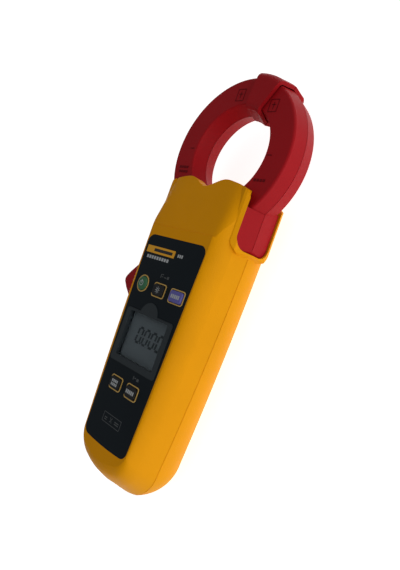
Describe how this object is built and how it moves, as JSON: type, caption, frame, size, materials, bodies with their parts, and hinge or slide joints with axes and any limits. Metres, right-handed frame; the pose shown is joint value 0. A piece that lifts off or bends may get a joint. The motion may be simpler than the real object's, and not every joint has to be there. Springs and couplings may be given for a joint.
{
  "type": "clamp meter",
  "caption": "Hand-held clamp meter: two geared jaws on a trigger close a ring round a conductor, display and push buttons on the face, battery door behind.",
  "frame": {"origin": "on the flat back face, on the centre line, 110 mm below the centre of the jaw ring", "axes": "+Z out of the display, +Y towards the jaw tip, +X to the display's right; the meter lies on its back"},
  "size_m": [0.1004, 0.2295, 0.0472],
  "materials": {
    "amber_plastic": "fine moulded texture, satin",
    "red_plastic": "fine moulded texture, satin",
    "panel_black": "satin printed film",
    "bezel_grey": "satin",
    "clear_lens": "clear, gloss",
    "lcd_grey": "gloss",
    "diffuser_white": "gloss",
    "keypad_rubber": "matte",
    "circuit_board": "solder resist, gloss",
    "chip_black": "matte",
    "tinned_steel": "plated",
    "insert_brass": "turned",
    "inner_plastic": "matte",
    "cell_jacket": "gloss jacket",
    "core_steel": "laminated, dull",
    "coil_copper": "enamelled winding",
    "button_green": "satin",
    "button_violet": "satin",
    "button_black": "satin"
  },
  "bodies": {
    "housing": {"front_shell": "amber_plastic", "rear_shell": "amber_plastic", "face_overlay": "panel_black", "lcd_bezel": "bezel_grey", "lcd_lens": "clear_lens", "lcd_glass": "lcd_grey", "lcd_backlight": "diffuser_white", "lcd_contact_strips": "keypad_rubber", "keypad_mat": "keypad_rubber", "main_pcb": "circuit_board", "pcb_chips": "chip_black", "pcb_shield": "tinned_steel", "buzzer": "chip_black", "door_screw_insert": "insert_brass", "battery_tray": "inner_plastic", "battery_contacts": "tinned_steel", "battery_cell_left": "cell_jacket", "battery_cell_right": "cell_jacket", "case_screws": "tinned_steel", "left_pivot_pin": "tinned_steel", "right_pivot_pin": "tinned_steel", "return_spring": "tinned_steel"},
    "left_jaw": {"left_jaw_front": "red_plastic", "left_jaw_rear": "red_plastic", "left_core": "core_steel", "left_coil": "coil_copper", "left_sync_gear": "inner_plastic", "trigger": "red_plastic"},
    "right_jaw": {"right_jaw_front": "red_plastic", "right_jaw_rear": "red_plastic", "right_core": "core_steel", "right_coil": "coil_copper", "right_sync_gear": "inner_plastic"},
    "battery_door": {"battery_door": "amber_plastic"},
    "door_screw": {"door_screw": "tinned_steel"},
    "power_button": {"power_button": "button_green"},
    "backlight_button": {"backlight_button": "button_black"},
    "hold_button": {"hold_button": "button_violet"},
    "range_button": {"range_button": "button_black"},
    "filter_button": {"filter_button": "button_black"}
  },
  "joints": [
    {"name": "left_jaw_swing", "type": "hinge", "parent": "housing", "child": "left_jaw", "pos_m": [-0.011, 0.072, 0.026], "axis": [0, 0, 1], "range_deg": [0, 16], "stiffness_Nm_per_rad": 1.6, "springref_deg": -17.19, "deforming": ["return_spring"]},
    {"name": "right_jaw_swing", "type": "hinge", "parent": "housing", "child": "right_jaw", "pos_m": [0.011, 0.072, 0.026], "axis": [0, 0, 1], "range_deg": [-16, 0]},
    {"name": "battery_door_lift", "type": "slide", "parent": "housing", "child": "battery_door", "axis": [0, 0, -1], "range_m": [0, 0.012]},
    {"name": "door_screw_turn", "type": "hinge", "parent": "battery_door", "child": "door_screw", "pos_m": [0, -0.0066, 0.001], "axis": [0, 0, -1], "continuous": true},
    {"name": "power_button_press", "type": "slide", "parent": "housing", "child": "power_button", "axis": [0, 0, -1], "range_m": [0, 0.0008], "stiffness_N_per_m": 1500, "springref_m": -0.0005},
    {"name": "backlight_button_press", "type": "slide", "parent": "housing", "child": "backlight_button", "axis": [0, 0, -1], "range_m": [0, 0.0008], "stiffness_N_per_m": 1500, "springref_m": -0.0005},
    {"name": "hold_button_press", "type": "slide", "parent": "housing", "child": "hold_button", "axis": [0, 0, -1], "range_m": [0, 0.0008], "stiffness_N_per_m": 1500, "springref_m": -0.0005},
    {"name": "range_button_press", "type": "slide", "parent": "housing", "child": "range_button", "axis": [0, 0, -1], "range_m": [0, 0.0008], "stiffness_N_per_m": 1500, "springref_m": -0.0005},
    {"name": "filter_button_press", "type": "slide", "parent": "housing", "child": "filter_button", "axis": [0, 0, -1], "range_m": [0, 0.0008], "stiffness_N_per_m": 1500, "springref_m": -0.0005}
  ],
  "couplings": [
    {"joint": "right_jaw_swing", "follows": "left_jaw_swing", "ratio": -1}
  ]
}
